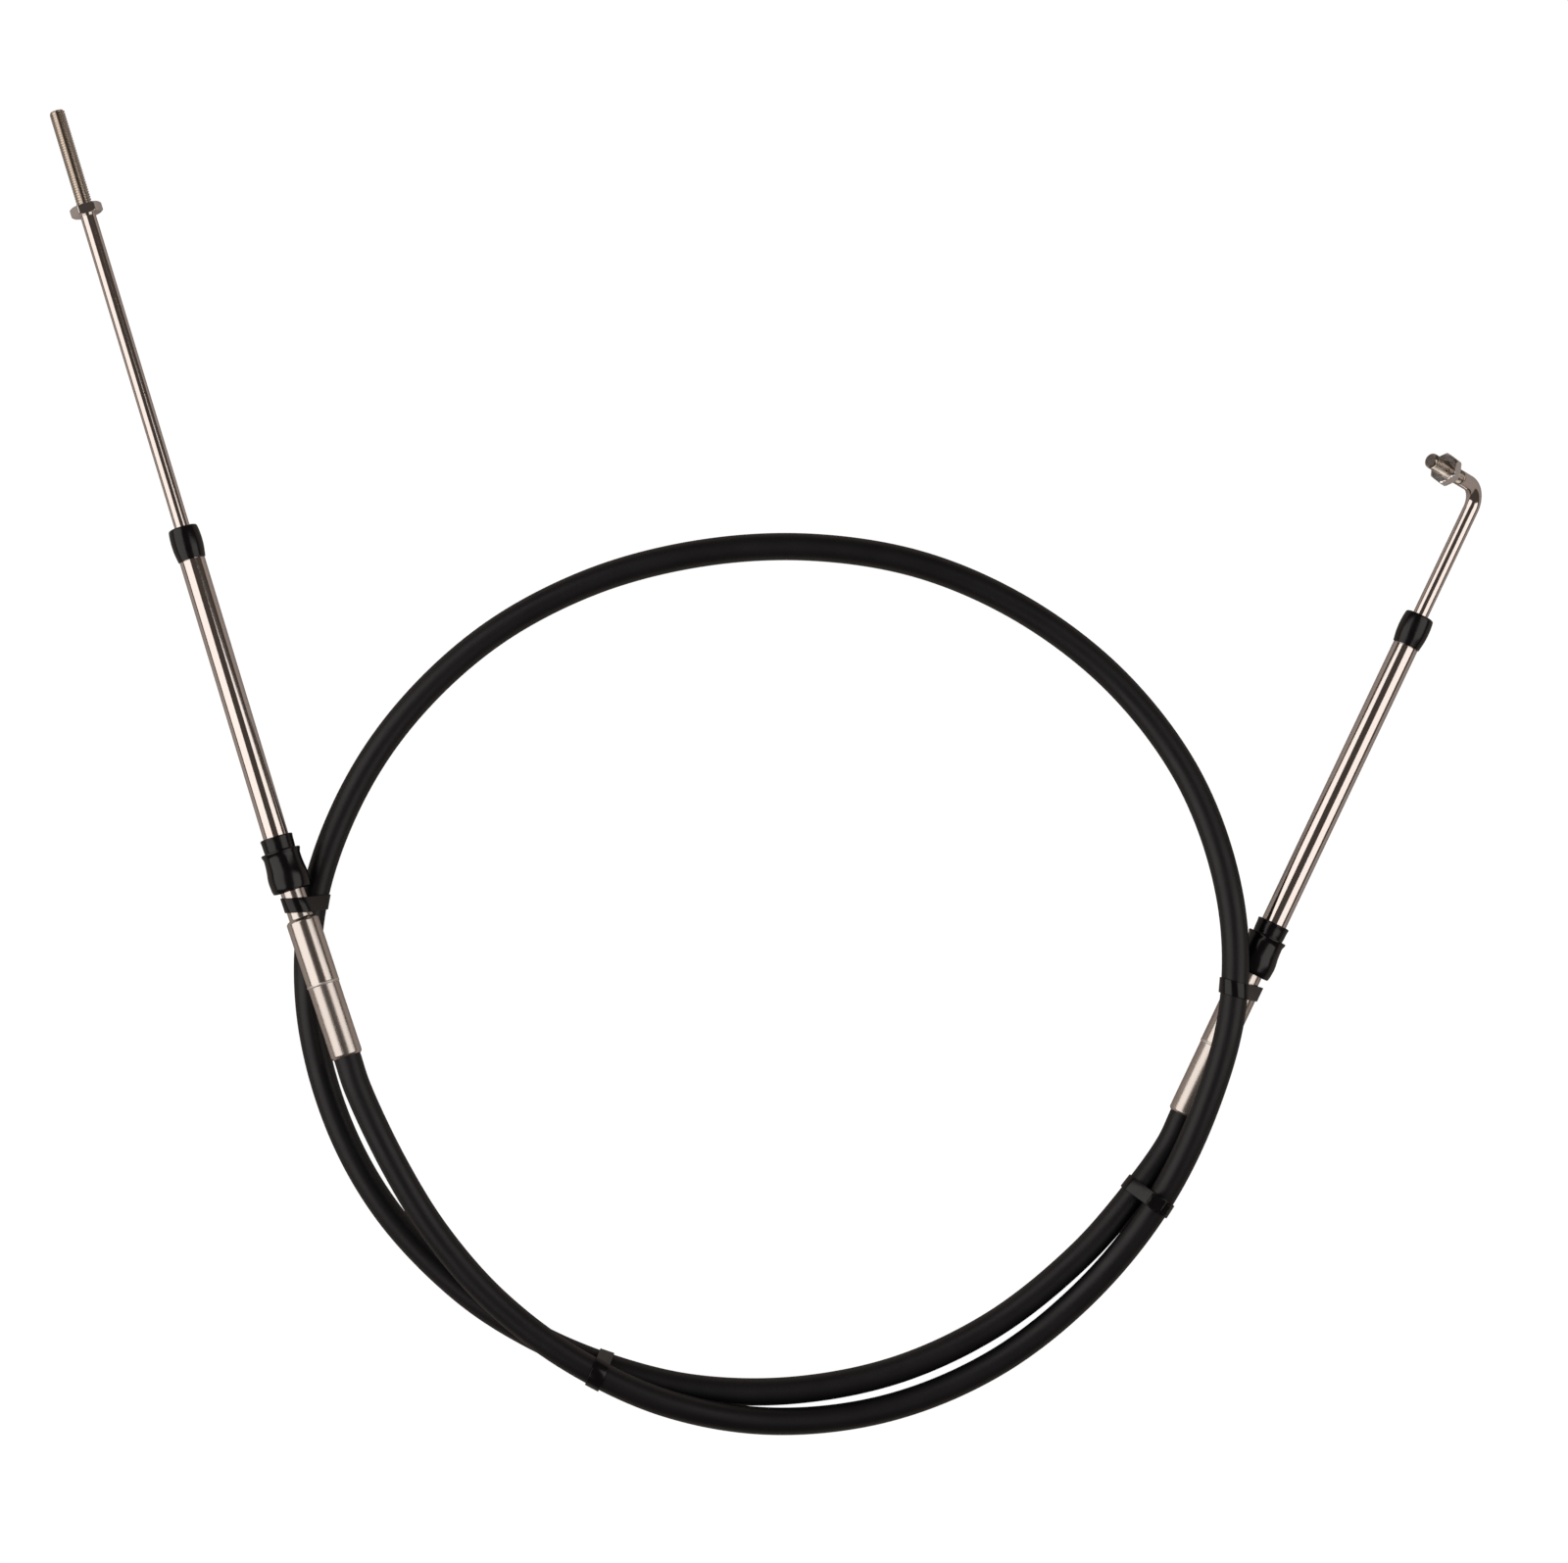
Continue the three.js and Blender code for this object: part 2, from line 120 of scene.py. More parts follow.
# %% The route's points
COIL_CENTRE = (2, -113)
LAY = [
    (-154, 129, 17.4),
    (-143, 129, 16.4),
    (-131, 130, 15.4),
    (-118, 131.5, 14.7),
    (-104, 134, 12.4),
    (-90, 136, 8),
    (-75, 137, 4.9),
    (-60, 137, 4.6),
    (-45, 136.5, 6.2),
    (-30, 137, 11),
    (-16, 138.5, 15),
    (-3, 141.5, 16.4),
    (10, 143, 14.2),
    (25, 143, 8.4),
    (40, 141, 5.1),
    (55, 138.5, 4.35),
    (70, 136.5, 4.35),
    (85, 134.5, 4.35),
    (100, 134, 4.35),
    (115, 135.5, 4.35),
    (130, 138, 4.35),
    (145, 140.5, 4.4),
    (158, 142.5, 4.8),
    (171, 144, 5.4),
    (184, 143.5, 4.8),
    (198, 141.5, 4.4),
    (211, 139, 4.4),
    (225, 135.5, 4.5),
    (236, 132.5, 4.9),
    (247, 130, 5.4),
    (259, 128.5, 4.9),
    (273, 127, 4.5),
    (288, 126.5, 4.5),
    (303, 126.5, 4.6),
    (318, 127.5, 5),
    (329, 129.6, 5.5),
]


def lay_point(angle, radius, height):
    a = math.radians(angle)
    x, y = COIL_CENTRE
    return Vector((x + radius * math.cos(a), y + radius * math.sin(a), height)) * MM


def on_axis(end, axis, along):
    """A point on a fitting's axis, in millimetres from its ball."""
    return end["ball"] + end[axis] * along * MM


conduit_start = HUB_REAR - GAP
route = [
    on_axis(LEFT, "hub", conduit_start),
    on_axis(LEFT, "hub", conduit_start - STRAIGHT_OUT),
    *[lay_point(*station) for station in LAY],
    on_axis(RIGHT, "hub", conduit_start - STRAIGHT_OUT),
    on_axis(RIGHT, "hub", conduit_start),
]
print(len(route), "route points")

# %% [markdown]
# A Catmull-Rom curve passes through every point of the route. The centripetal
# kind, with knots spaced by the square root of the distance, never overshoots
# into a loop where the points are unevenly spaced.

# %% A smooth line through the points
def smooth_line(points, steps):
    ends = [2 * points[0] - points[1], *points, 2 * points[-1] - points[-2]]
    line = []
    for p0, p1, p2, p3 in zip(ends, ends[1:], ends[2:], ends[3:]):
        t0 = 0.0
        t1 = t0 + math.sqrt((p1 - p0).length)
        t2 = t1 + math.sqrt((p2 - p1).length)
        t3 = t2 + math.sqrt((p3 - p2).length)
        for i in range(steps):
            t = t1 + (t2 - t1) * i / steps
            a1 = p0.lerp(p1, (t - t0) / (t1 - t0))
            a2 = p1.lerp(p2, (t - t1) / (t2 - t1))
            a3 = p2.lerp(p3, (t - t2) / (t3 - t2))
            b1 = a1.lerp(a2, (t - t0) / (t2 - t0))
            b2 = a2.lerp(a3, (t - t1) / (t3 - t1))
            line.append(b1.lerp(b2, (t - t1) / (t2 - t1)))
    line.append(points[-1].copy())
    return line


STEPS_PER_SPAN = 14
INTO_HUB = 2.4
centreline = smooth_line(route, STEPS_PER_SPAN)
centreline.insert(0, on_axis(LEFT, "hub", conduit_start + INTO_HUB))
centreline.append(on_axis(RIGHT, "hub", conduit_start + INTO_HUB))
length = sum((b - a).length for a, b in zip(centreline, centreline[1:]))
print(f"conduit {length:.4f} m long, {len(centreline)} points")

# %% [markdown]
# ## The conduit
# The sheath is extruded plastic with a round section, which is exactly what a
# curve with a bevel depth draws. The radius is written on the points, because
# Blender pads a curve's own box by the points' radius.

# %% Conduit
conduit_curve = bpy.data.curves.new("conduit_sheath", "CURVE")
conduit_curve.dimensions = "3D"
conduit_curve.bevel_depth = 1.0
conduit_curve.bevel_resolution = 10
conduit_curve.use_fill_caps = True
spline = conduit_curve.splines.new("POLY")
spline.points.add(len(centreline) - 1)
for point, place in zip(spline.points, centreline):
    point.co = (*place, 1)
    point.radius = CONDUIT_D / 2 * MM
spline.use_smooth = True
conduit = bpy.data.objects.new("conduit_sheath", conduit_curve)
scene.collection.objects.link(conduit)
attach(conduit, "cable")
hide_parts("conduit")

# %% [markdown]
# ## Materials
# Every finish is a small node tree. Metal needs something to reflect and a
# little unevenness in its roughness; black plastic and rubber live from their
# sheen and fine grain.

# %% Helper for node trees
def material(name, color, roughness, metallic=0.0, specular=0.5):
    mat = bpy.data.materials.new(name)
    mat.use_nodes = True
    shader = mat.node_tree.nodes["Principled BSDF"]
    shader.inputs["Base Color"].default_value = (*color, 1)
    shader.inputs["Roughness"].default_value = roughness
    shader.inputs["Metallic"].default_value = metallic
    shader.inputs["Specular IOR Level"].default_value = specular
    mat.diffuse_color = (*color, 1)
    return mat, mat.node_tree, shader


def noise(tree, scale, detail=3.0, stretch=(1, 1, 1), source="Object"):
    """A noise texture in object space, or along a piece's own UV map."""
    coords = tree.nodes.new("ShaderNodeTexCoord")
    mapping = tree.nodes.new("ShaderNodeMapping")
    mapping.inputs["Scale"].default_value = stretch
    texture = tree.nodes.new("ShaderNodeTexNoise")
    texture.inputs["Scale"].default_value = scale
    texture.inputs["Detail"].default_value = detail
    tree.links.new(coords.outputs[source], mapping.inputs["Vector"])
    tree.links.new(mapping.outputs["Vector"], texture.inputs["Vector"])
    return texture.outputs["Fac"]


def spread(tree, value, low, high):
    """Maps a 0 to 1 value to a range."""
    node = tree.nodes.new("ShaderNodeMapRange")
    node.inputs["From Min"].default_value = 0.3
    node.inputs["From Max"].default_value = 0.7
    node.inputs["To Min"].default_value = low
    node.inputs["To Max"].default_value = high
    tree.links.new(value, node.inputs["Value"])
    return node.outputs["Result"]


def bump(tree, shader, height, strength, distance):
    node = tree.nodes.new("ShaderNodeBump")
    node.inputs["Strength"].default_value = strength
    node.inputs["Distance"].default_value = distance
    tree.links.new(height, node.inputs["Height"])
    tree.links.new(node.outputs["Normal"], shader.inputs["Normal"])


def tint(tree, shader, value, dark, light):
    """Blends the base colour between two tones."""
    ramp = tree.nodes.new("ShaderNodeMix")
    ramp.data_type = "RGBA"
    ramp.inputs[6].default_value = (*dark, 1)
    ramp.inputs[7].default_value = (*light, 1)
    tree.links.new(value, ramp.inputs["Factor"])
    tree.links.new(ramp.outputs[2], shader.inputs["Base Color"])


print("material helpers ready")

# %% [markdown]
# The conduit is satin black polyethylene: faint cloudiness from handling, and a
# very fine grain that breaks up its long highlights.

# %% Conduit plastic
def conduit_plastic():
    mat, tree, shader = material("conduit_plastic", (0.008, 0.0073, 0.0078), 0.44)
    tree.links.new(spread(tree, noise(tree, 90), 0.4, 0.48), shader.inputs["Roughness"])
    tint(tree, shader, noise(tree, 40), (0.0052, 0.0048, 0.0062), (0.0088, 0.0082, 0.0102))
    bump(tree, shader, noise(tree, 2600, 2), 0.12, 0.00004)
    return mat


conduit_curve.materials.append(conduit_plastic())
print("material:", conduit_curve.materials[0].name)

# %% [markdown]
# Boots and wiper seals are moulded rubber, blacker and glossier than the
# conduit, with a fine grain from the mould.

# %% Rubber
def black_rubber():
    mat, tree, shader = material("black_rubber", (0.005, 0.0045, 0.0052), 0.22, specular=0.5)
    tree.links.new(spread(tree, noise(tree, 260), 0.17, 0.27), shader.inputs["Roughness"])
    tint(tree, shader, noise(tree, 140), (0.003, 0.0027, 0.0035), (0.006, 0.0055, 0.0068))
    bump(tree, shader, noise(tree, 3800, 2), 0.18, 0.00004)
    return mat


rubber = black_rubber()
print("material:", rubber.name)

# %% [markdown]
# Cable ties are injection moulded nylon, smooth and glossy like the rubber but
# with no grain to speak of.

# %% Nylon
def black_nylon():
    mat, tree, shader = material("black_nylon", (0.005, 0.0048, 0.0056), 0.2, specular=0.45)
    tree.links.new(spread(tree, noise(tree, 500), 0.16, 0.26), shader.inputs["Roughness"])
    bump(tree, shader, noise(tree, 1800, 2), 0.15, 0.00004)
    return mat


nylon = black_nylon()
print("material:", nylon.name)

# %% [markdown]
# The tubes and rods are drawn and polished stainless steel. Drawing leaves
# hair-fine lines along the length, so the noise is stretched along the UV map's
# first direction, which runs down each turned piece. The nuts are bright
# plated and have no such lines.

# %% Steels
WARM = (0.97, 0.93, 0.9)


def steel(name, color, rough_low, rough_high, line_strength):
    mat, tree, shader = material(name, color, rough_low, metallic=1.0)
    lines = noise(tree, 60, 2, stretch=(0.02, 1.0, 1.0), source="UV")
    tree.links.new(spread(tree, lines, rough_low, rough_high), shader.inputs["Roughness"])
    warm = tuple(c * w for c, w in zip(color, WARM))
    tint(tree, shader, noise(tree, 30), warm, color)
    bump(tree, shader, lines, line_strength, 0.00002)
    return mat


def plated_nut():
    mat, tree, shader = material("nut_steel", (0.88, 0.85, 0.83), 0.1, metallic=1.0)
    tree.links.new(spread(tree, noise(tree, 300), 0.08, 0.14), shader.inputs["Roughness"])
    bump(tree, shader, noise(tree, 500, 2), 0.03, 0.00002)
    return mat


polished = steel("polished_steel", (0.86, 0.81, 0.78), 0.07, 0.13, 0.05)
bright = steel("hub_front_steel", (0.80, 0.755, 0.715), 0.17, 0.25, 0.1)
satin = steel("hub_rear_steel", (0.78, 0.73, 0.69), 0.23, 0.32, 0.14)
thread_steel = steel("thread_steel", (0.74, 0.68, 0.61), 0.1, 0.17, 0.05)
nut_steel = plated_nut()
# The crimp bead's paler steel is a painted highlight: it makes the crimp edge a light line.
bead_highlight_steel = steel("crimp_bead_painted_highlight_steel", (0.98, 0.95, 0.92), 0.42, 0.5, 0.05)
print("steels: polished, bright, satin, thread, nut, bead")

# %% [markdown]
# ## From a mesh to a piece
# Every piece is made the same way: points and faces become a mesh, the mesh is
# shaded smooth with hard edges where faces meet at a wide angle, and the object
# rides on a body while the CAD node that it replaces is hidden.

# %% Meshes and pieces
def new_mesh(name, verts, faces, uvs=()):
    mesh = bpy.data.meshes.new(name)
    mesh.from_pydata(verts, [], faces)
    if uvs:
        layer = mesh.uv_layers.new(name="UVMap")
        for loop, uv in zip(layer.data, uvs):
            loop.uv = uv
    return mesh


def add_piece(mesh, mats, body, node, sharp_angle):
    mesh.shade_smooth()
    mesh.set_sharp_from_angle(angle=math.radians(sharp_angle))
    for mat in mats:
        mesh.materials.append(mat)
    piece = bpy.data.objects.new(mesh.name, mesh)
    scene.collection.objects.link(piece)
    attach(piece, body)
    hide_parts(node)
    return piece


def basis(along, roll=0.0):
    """Rotation whose X runs along a direction, with Z as near up as it can be."""
    side = Vector((0, 0, 1)).cross(along).normalized()
    up = along.cross(side)
    turn = Matrix((along, side, up)).transposed()
    return turn @ Matrix.Rotation(math.radians(roll), 3, "X")


print("piece helpers ready")

# %% [markdown]
# ## Turned pieces
# Hubs, tubes, boots and seals are all round, so one function turns a profile
# about its axis. A profile point is a distance along the axis, a radius and the
# size of the rounding at that corner; rounded edges are what catch the light.

# %% Profile rounding
def rounded(profile, steps=5):
    """Replaces each corner that has a rounding by points on a small arc."""
    out = []
    for i, (x, r, size) in enumerate(profile):
        here = Vector((x, r))
        if size == 0 or i in (0, len(profile) - 1):
            out.append(here)
            continue
        before = Vector(profile[i - 1][:2]) - here
        after = Vector(profile[i + 1][:2]) - here
        reach = min(size, before.length * 0.49, after.length * 0.49)
        a, b = here + before.normalized() * reach, here + after.normalized() * reach
        for k in range(steps + 1):
            t = k / steps
            out.append((1 - t) ** 2 * a + 2 * t * (1 - t) * here + t * t * b)
    return out


corner = rounded([(0, 1, 0), (1, 1, 0.2), (1, 0, 0)])
print("a rounded corner takes", len(corner) - 2, "points")

# %% [markdown]
# The profile is repeated at equal steps round the axis and joined by faces. The
# UV map runs along the profile in one direction and round the axis in the other.
# A profile that starts on the axis is closed there, and its points are merged.

# %% Turn a profile
TURN_SIDES = 96
SOFT_EDGE = 32
UV_PER_MM = 0.1
UV_ROUND = 3


def merge_poles(mesh):
    """Joins the doubled points where a profile meets the axis."""
    bm = bmesh.new()
    bm.from_mesh(mesh)
    bmesh.ops.remove_doubles(bm, verts=bm.verts, dist=1e-7)
    bm.to_mesh(mesh)
    bm.free()


def turned(name, profile, end, axis, mats, body, node):
    """Turns a profile in millimetres about one of a fitting's axes."""
    points = rounded(profile)
    closed = profile[0][1] > 0
    verts, faces, uvs = [], [], []
    turn, sides = basis(end[axis]), TURN_SIDES
    for p in points:
        for k in range(sides):
            a = 2 * math.pi * k / sides
            spot = Vector((p.x, p.y * math.cos(a), p.y * math.sin(a))) * MM
            verts.append(end["ball"] + turn @ spot)
    rows = len(points) if closed else len(points) - 1
    run = 0.0
    for j in range(rows):
        k0, k1 = j, (j + 1) % len(points)
        step = (points[k1] - points[k0]).length
        for k in range(sides):
            n = (k + 1) % sides
            faces.append((k0 * sides + k, k1 * sides + k, k1 * sides + n, k0 * sides + n))
            u0, u1 = run * UV_PER_MM, (run + step) * UV_PER_MM
            v0, v1 = UV_ROUND * k / sides, UV_ROUND * (k + 1) / sides
            uvs.extend([(u0, v0), (u1, v0), (u1, v1), (u0, v1)])
        run += step
    mesh = new_mesh(name, verts, faces, uvs)
    if not closed:
        merge_poles(mesh)
    return add_piece(mesh, mats, body, node, SOFT_EDGE)


print("pieces are turned with", TURN_SIDES, "sides")

# %% [markdown]
# ## Hubs
# The hub is a steel sleeve crimped over the end of the conduit. Its front half
# stays bright, a fine raised bead marks where the crimp ends, and the crimped rear half
# is slightly slimmer and duller. The bead has a paler, rougher steel than the
# hub, a painted highlight that makes the crimp edge show as a light line. A slim
# neck runs on to the swivel ball.

# %% Hub sizes
HUB_R = 5.1
HUB_REAR_R = 4.95
SHOULDER = -13.0
CRIMP = -34.0
NECK_R = 3.85
NECK_END = -3.0
BALL_R = 2.6
STEM_R = 1.5
HUB_CHAMFER = 0.7
BEAD_R = HUB_R + 0.06
RECESS = 3


def hub_profile():
    mouth = CONDUIT_D / 2 + 0.05
    ball = [
        (BALL_R * math.cos(a), BALL_R * math.sin(a), 0)
        for a in [math.radians(d) for d in range(144, -1, -12)]
    ]
    return [
        (HUB_REAR + RECESS, 0, 0),
        (HUB_REAR + RECESS, mouth, 0.2),
        (HUB_REAR + 0.1, mouth, 0.2),
        (HUB_REAR, mouth + 0.15, 0.1),
        (HUB_REAR, HUB_REAR_R - 0.45, 0.25),
        (HUB_REAR + 0.6, HUB_REAR_R, 0.4),
        (CRIMP - 0.5, HUB_REAR_R - 0.02, 0.1),
        (CRIMP - 0.3, BEAD_R, 0.12),
        (CRIMP + 0.1, BEAD_R, 0.12),
        (CRIMP + 0.3, HUB_R, 0.1),
        (SHOULDER - HUB_CHAMFER, HUB_R, 0.35),
        (SHOULDER, HUB_R - HUB_CHAMFER, 0.25),
        (SHOULDER, NECK_R + 0.25, 0.1),
        (SHOULDER + 0.3, NECK_R, 0.15),
        (NECK_END - HUB_CHAMFER, NECK_R, 0.3),
        (NECK_END, NECK_R - HUB_CHAMFER, 0.2),
        (NECK_END, STEM_R, 0.1),
        *ball,
    ]


BOTH_ENDS = (("left", LEFT), ("right", RIGHT))
BEAD_FROM, BEAD_TO = CRIMP - 0.55, CRIMP + 0.25

for side, end in BOTH_ENDS:
    hub = turned(
        f"{side}_hub_turned", hub_profile(), end, "hub", (bright, satin, bead_highlight_steel),
        "cable", f"{side}_hub",
    )
    # The bead's faces get the paler steel, a painted highlight along the crimp edge.
    for face in hub.data.polygons:
        along = (face.center - end["ball"]).dot(end["hub"]) / MM
        if along < BEAD_FROM:
            face.material_index = 1
        elif along < BEAD_TO:
            face.material_index = 2
    print(hub.name, len(hub.data.polygons), "faces")

# %% [markdown]
# ## Support tubes
# A plain polished tube guides the rod. Its mouth is turned down where the wiper
# seal grips it.

# %% Tubes
TUBE_R = 4.0
BORE_R = 3.1
TUBE_START = -1.6
TUBE_MOUTH = 109.3
SPIGOT = 102.8
SPIGOT_R = 3.65

tube_profile = [
    (TUBE_START, BORE_R + 0.1, 0),
    (TUBE_START, TUBE_R - 0.2, 0),
    (TUBE_START + 0.2, TUBE_R, 0),
    (SPIGOT, TUBE_R, 0.2),
    (SPIGOT, SPIGOT_R, 0),
    (TUBE_MOUTH, SPIGOT_R, 0.2),
    (TUBE_MOUTH, BORE_R, 0.2),
    (TUBE_START + 0.3, BORE_R, 0),
]
for side, end in BOTH_ENDS:
    tube = turned(
        f"{side}_tube_turned", tube_profile, end, "tube", (polished,),
        f"{side}_tube", f"{side}_support_tube",
    )
    print(tube.name, "from", TUBE_START, "to", TUBE_MOUTH, "mm")

# %% [markdown]
# ## Wiper seals
# The seal is a barrel of rubber that grips the tube's mouth and wipes the rod.
# It swells in the middle and rounds over to a flat front with a small lip.

# %% Wiper seals
WIPER_START = SPIGOT + 0.15
WIPER_END = 113.4
ROD_R = 2.415
WIPER_BORE_R = ROD_R + 0.12
WIPER_GRIP_R = SPIGOT_R + 0.15
WIPER_SEAT = TUBE_MOUTH + 0.3

wiper_profile = [
    (WIPER_START, WIPER_GRIP_R, 0),
    (WIPER_START, 4.3, 0.15),
    (WIPER_START + 1.0, 4.45, 0.6),
    (WIPER_START + 3.2, 4.8, 2.0),
    (WIPER_START + 5.8, 4.92, 2.0),
    (WIPER_START + 8.4, 4.78, 1.6),
    (WIPER_END - 0.3, 4.5, 0.7),
    (WIPER_END, 3.6, 0.5),
    (WIPER_END - 0.1, 3.1, 0.3),
    (WIPER_END - 0.7, WIPER_BORE_R, 0.15),
    (WIPER_SEAT, WIPER_BORE_R, 0),
    (WIPER_SEAT, WIPER_GRIP_R, 0),
]
for side, end in BOTH_ENDS:
    wiper = turned(
        f"{side}_wiper_moulded", wiper_profile, end, "tube", (rubber,),
        f"{side}_tube", f"{side}_wiper_seal",
    )
    print(wiper.name, "ends at", WIPER_END, "mm")

# %% [markdown]
# ## Swivel boots
# The boot keeps dirt out of the swivel. Its foot is open, so that it clears the
# hub while the tube swivels. From there the skirt swells, pulls in to a waist
# and ends in a lip, and a tight collar grips the tube.

# %% Boots
BOOT_LENGTH = 17.1
COLLAR_LENGTH = 4.6
COLLAR_BORE_R = TUBE_R + 0.08


def boot_profile(start):
    end = start + BOOT_LENGTH
    step = end - COLLAR_LENGTH
    return [
        (start + 0.1, 5.35, 0),
        (start, 5.5, 0.12),
        (start + 0.05, 5.8, 0.4),
        (start + 1.0, 6.1, 1.0),
        (start + 4.4, 6.4, 2.4),
        (start + 7.6, 5.85, 2.2),
        (step - 1.6, 5.72, 1.0),
        (step - 0.4, 6.2, 0.15),
        (step, 6.1, 0.12),
        (step + 0.08, 4.85, 0.25),
        (step + 1.2, 4.95, 0.6),
        (end - 1.3, 5.0, 0.6),
        (end - 0.2, 5.15, 0.25),
        (end, 4.8, 0.2),
        (end, COLLAR_BORE_R, 0.1),
        (step - 1, COLLAR_BORE_R, 0),
        (step - 2.4, 4.85, 0.5),
        (start + 6, 5.45, 1.0),
    ]


for side, end in BOTH_ENDS:
    boot = turned(
        f"{side}_boot_moulded", boot_profile(end["boot_start"]), end, "tube", (rubber,),
        f"{side}_tube", f"{side}_boot",
    )
    print(boot.name, "from", end["boot_start"], "mm")

# %% [markdown]
# ## Rods with a real thread
# The rod's end is threaded with a fine pitch of 0.79 mm. The thread is drawn as
# a grid round the rod whose radius depends on how far each point lies from the
# helix, so crest and root wind round as on a cut thread.

# %% Thread
PITCH = 0.794
THREAD_DEPTH = 0.42
CREST = 0.36
FLANK = 0.58
RUN_OUT = 1.5 * PITCH
TIP_CHAMFER = 0.6
TIP_SLOPE = 0.9


def clamped(value):
    return min(1.0, max(0.0, value))


def thread_radius(s, angle, start, end):
    """Radius at distance s along the rod: plain before start, threaded after."""
    phase = (s / PITCH - angle / (2 * math.pi)) % 1.0
    ridge = abs(phase - 0.5) * 2
    cut = THREAD_DEPTH * clamped((ridge - CREST) / FLANK) * clamped((s - start) / RUN_OUT)
    chamfer = max(0.0, s - (end - TIP_CHAMFER)) * TIP_SLOPE
    return ROD_R - max(cut, chamfer)


print("thread pitch", PITCH, "mm,", THREAD_DEPTH, "mm deep")

# %% [markdown]
# The rod follows a line of points and directions. The line is walked in long
# steps where the rod is plain, and in a ninth of the pitch where it's threaded.

# %% Rod surface
ROD_SIDES = 48
ROD_EDGE = 40
PLAIN_STEP = 4.0
THREAD_STEP = PITCH / 9


def rod_stations(line, fine_from):
    """Points and directions along a line, close together where it's threaded."""
    out, run = [], 0.0
    for (a, da), (b, db) in zip(line, line[1:]):
        gap = (b - a).length / MM
        step = THREAD_STEP if run + gap > fine_from else PLAIN_STEP
        count = max(1, round(gap / step))
        for i in range(count):
            t = i / count
            out.append((a.lerp(b, t), da.lerp(db, t).normalized(), run + gap * t))
        run += gap
    out.append((line[-1][0], line[-1][1], run))
    return out, run


def rod_mesh(name, line, thread_length, body, node):
    """Sweeps the rod along a line of points and directions, with a threaded end."""
    total = sum((b[0] - a[0]).length for a, b in zip(line, line[1:])) / MM
    start = total - thread_length
    stations, end = rod_stations(line, start)
    verts, faces, uvs = [], [], []
    side = Vector((0, 0, 1)).cross(line[0][1]).normalized()
    for centre, along, s in stations:
        side = (side - along * side.dot(along)).normalized()
        up = along.cross(side)
        for k in range(ROD_SIDES):
            a = 2 * math.pi * k / ROD_SIDES
            r = thread_radius(s, a, start, end) * MM
            verts.append(centre + (side * math.cos(a) + up * math.sin(a)) * r)
    for j in range(len(stations) - 1):
        for k in range(ROD_SIDES):
            n = (k + 1) % ROD_SIDES
            row = j * ROD_SIDES
            faces.append((row + k, row + n, row + ROD_SIDES + n, row + ROD_SIDES + k))
            u0, u1 = stations[j][2] * UV_PER_MM, stations[j + 1][2] * UV_PER_MM
            v0, v1 = UV_ROUND * k / ROD_SIDES, UV_ROUND * (k + 1) / ROD_SIDES
            uvs.extend([(u0, v0), (u0, v1), (u1, v1), (u1, v0)])
    last = (len(stations) - 1) * ROD_SIDES
    faces.append(tuple(reversed(range(ROD_SIDES))))
    faces.append(tuple(range(last, last + ROD_SIDES)))
    uvs.extend([(0, 0)] * (2 * ROD_SIDES))
    mesh = new_mesh(name, verts, faces, uvs)
    rod = add_piece(mesh, (polished, thread_steel), body, node, ROD_EDGE)
    for face in mesh.polygons[:-2]:
        if stations[face.index // ROD_SIDES][2] > start:
            face.material_index = 1
    return rod


print("rods are swept with", ROD_SIDES, "sides")

# %% [markdown]
# The left rod is straight. The right one turns through a tight bend into a short
# leg that points up and back, so its line has extra points round the bend.

# %% The two rods
LEFT_ROD_END, LEFT_THREAD_FROM, LEFT_ROD_TIP = 63.0, 217.8, 248.7
left_line = [
    (on_axis(LEFT, "tube", x), LEFT["tube"])
    for x in (LEFT_ROD_END, LEFT_THREAD_FROM, LEFT_ROD_TIP)
]
left_rod = rod_mesh("left_rod_threaded", left_line, 30.9, "left_push_rod", "left_rod")

CORNER = on_axis(RIGHT, "tube", 156.4)
LEG = direction(156.1, -46.3)
LEG_LENGTH = 28.2
LEG_THREAD = 17
BEND_R = 6.5
BEND_STEPS = 14
RIGHT_ROD_END = 37.0
bend_angle = RIGHT["tube"].angle(LEG)
inward = (LEG - RIGHT["tube"] * LEG.dot(RIGHT["tube"])).normalized()
bend_start = CORNER - RIGHT["tube"] * BEND_R * math.tan(bend_angle / 2) * MM
bend_centre = bend_start + inward * BEND_R * MM
right_line = [(on_axis(RIGHT, "tube", RIGHT_ROD_END), RIGHT["tube"])]
for i in range(BEND_STEPS + 1):
    a = bend_angle * i / BEND_STEPS
    outward = RIGHT["tube"] * math.sin(a) - inward * math.cos(a)
    heading = RIGHT["tube"] * math.cos(a) + inward * math.sin(a)
    right_line.append((bend_centre + outward * BEND_R * MM, heading))
leg_tip = CORNER + LEG * LEG_LENGTH * MM
right_line.append((leg_tip - LEG * LEG_THREAD * MM, LEG))
right_line.append((leg_tip, LEG))
right_rod = rod_mesh("right_rod_threaded", right_line, 16.5, "right_push_rod", "right_rod")
for rod in (left_rod, right_rod):
    print(rod.name, len(rod.data.polygons), "faces")

# %% [markdown]
# ## Nuts
# A hexagonal nut is a hexagon cut by a cone at each end, which leaves the curved
# chamfer lines. Here the radius at every angle is the smaller of the hexagon's
# and the cone's, so both shapes come out of one rule.

# %% Nuts
ACROSS_FLATS = 8.8
NUT_THICK = 3.2
NUT_SIDES = 180
NUT_RINGS = 12
NUT_EDGE = 20
NUT_CHAMFER = 0.45
CONE_SLOPE = 1.9


def hexagon_radius(angle):
    """Distance from the middle of the hexagon to its side, at an angle."""
    sector = (angle + math.pi / 6) % (math.pi / 3) - math.pi / 6
    return ACROSS_FLATS / 2 / math.cos(sector)


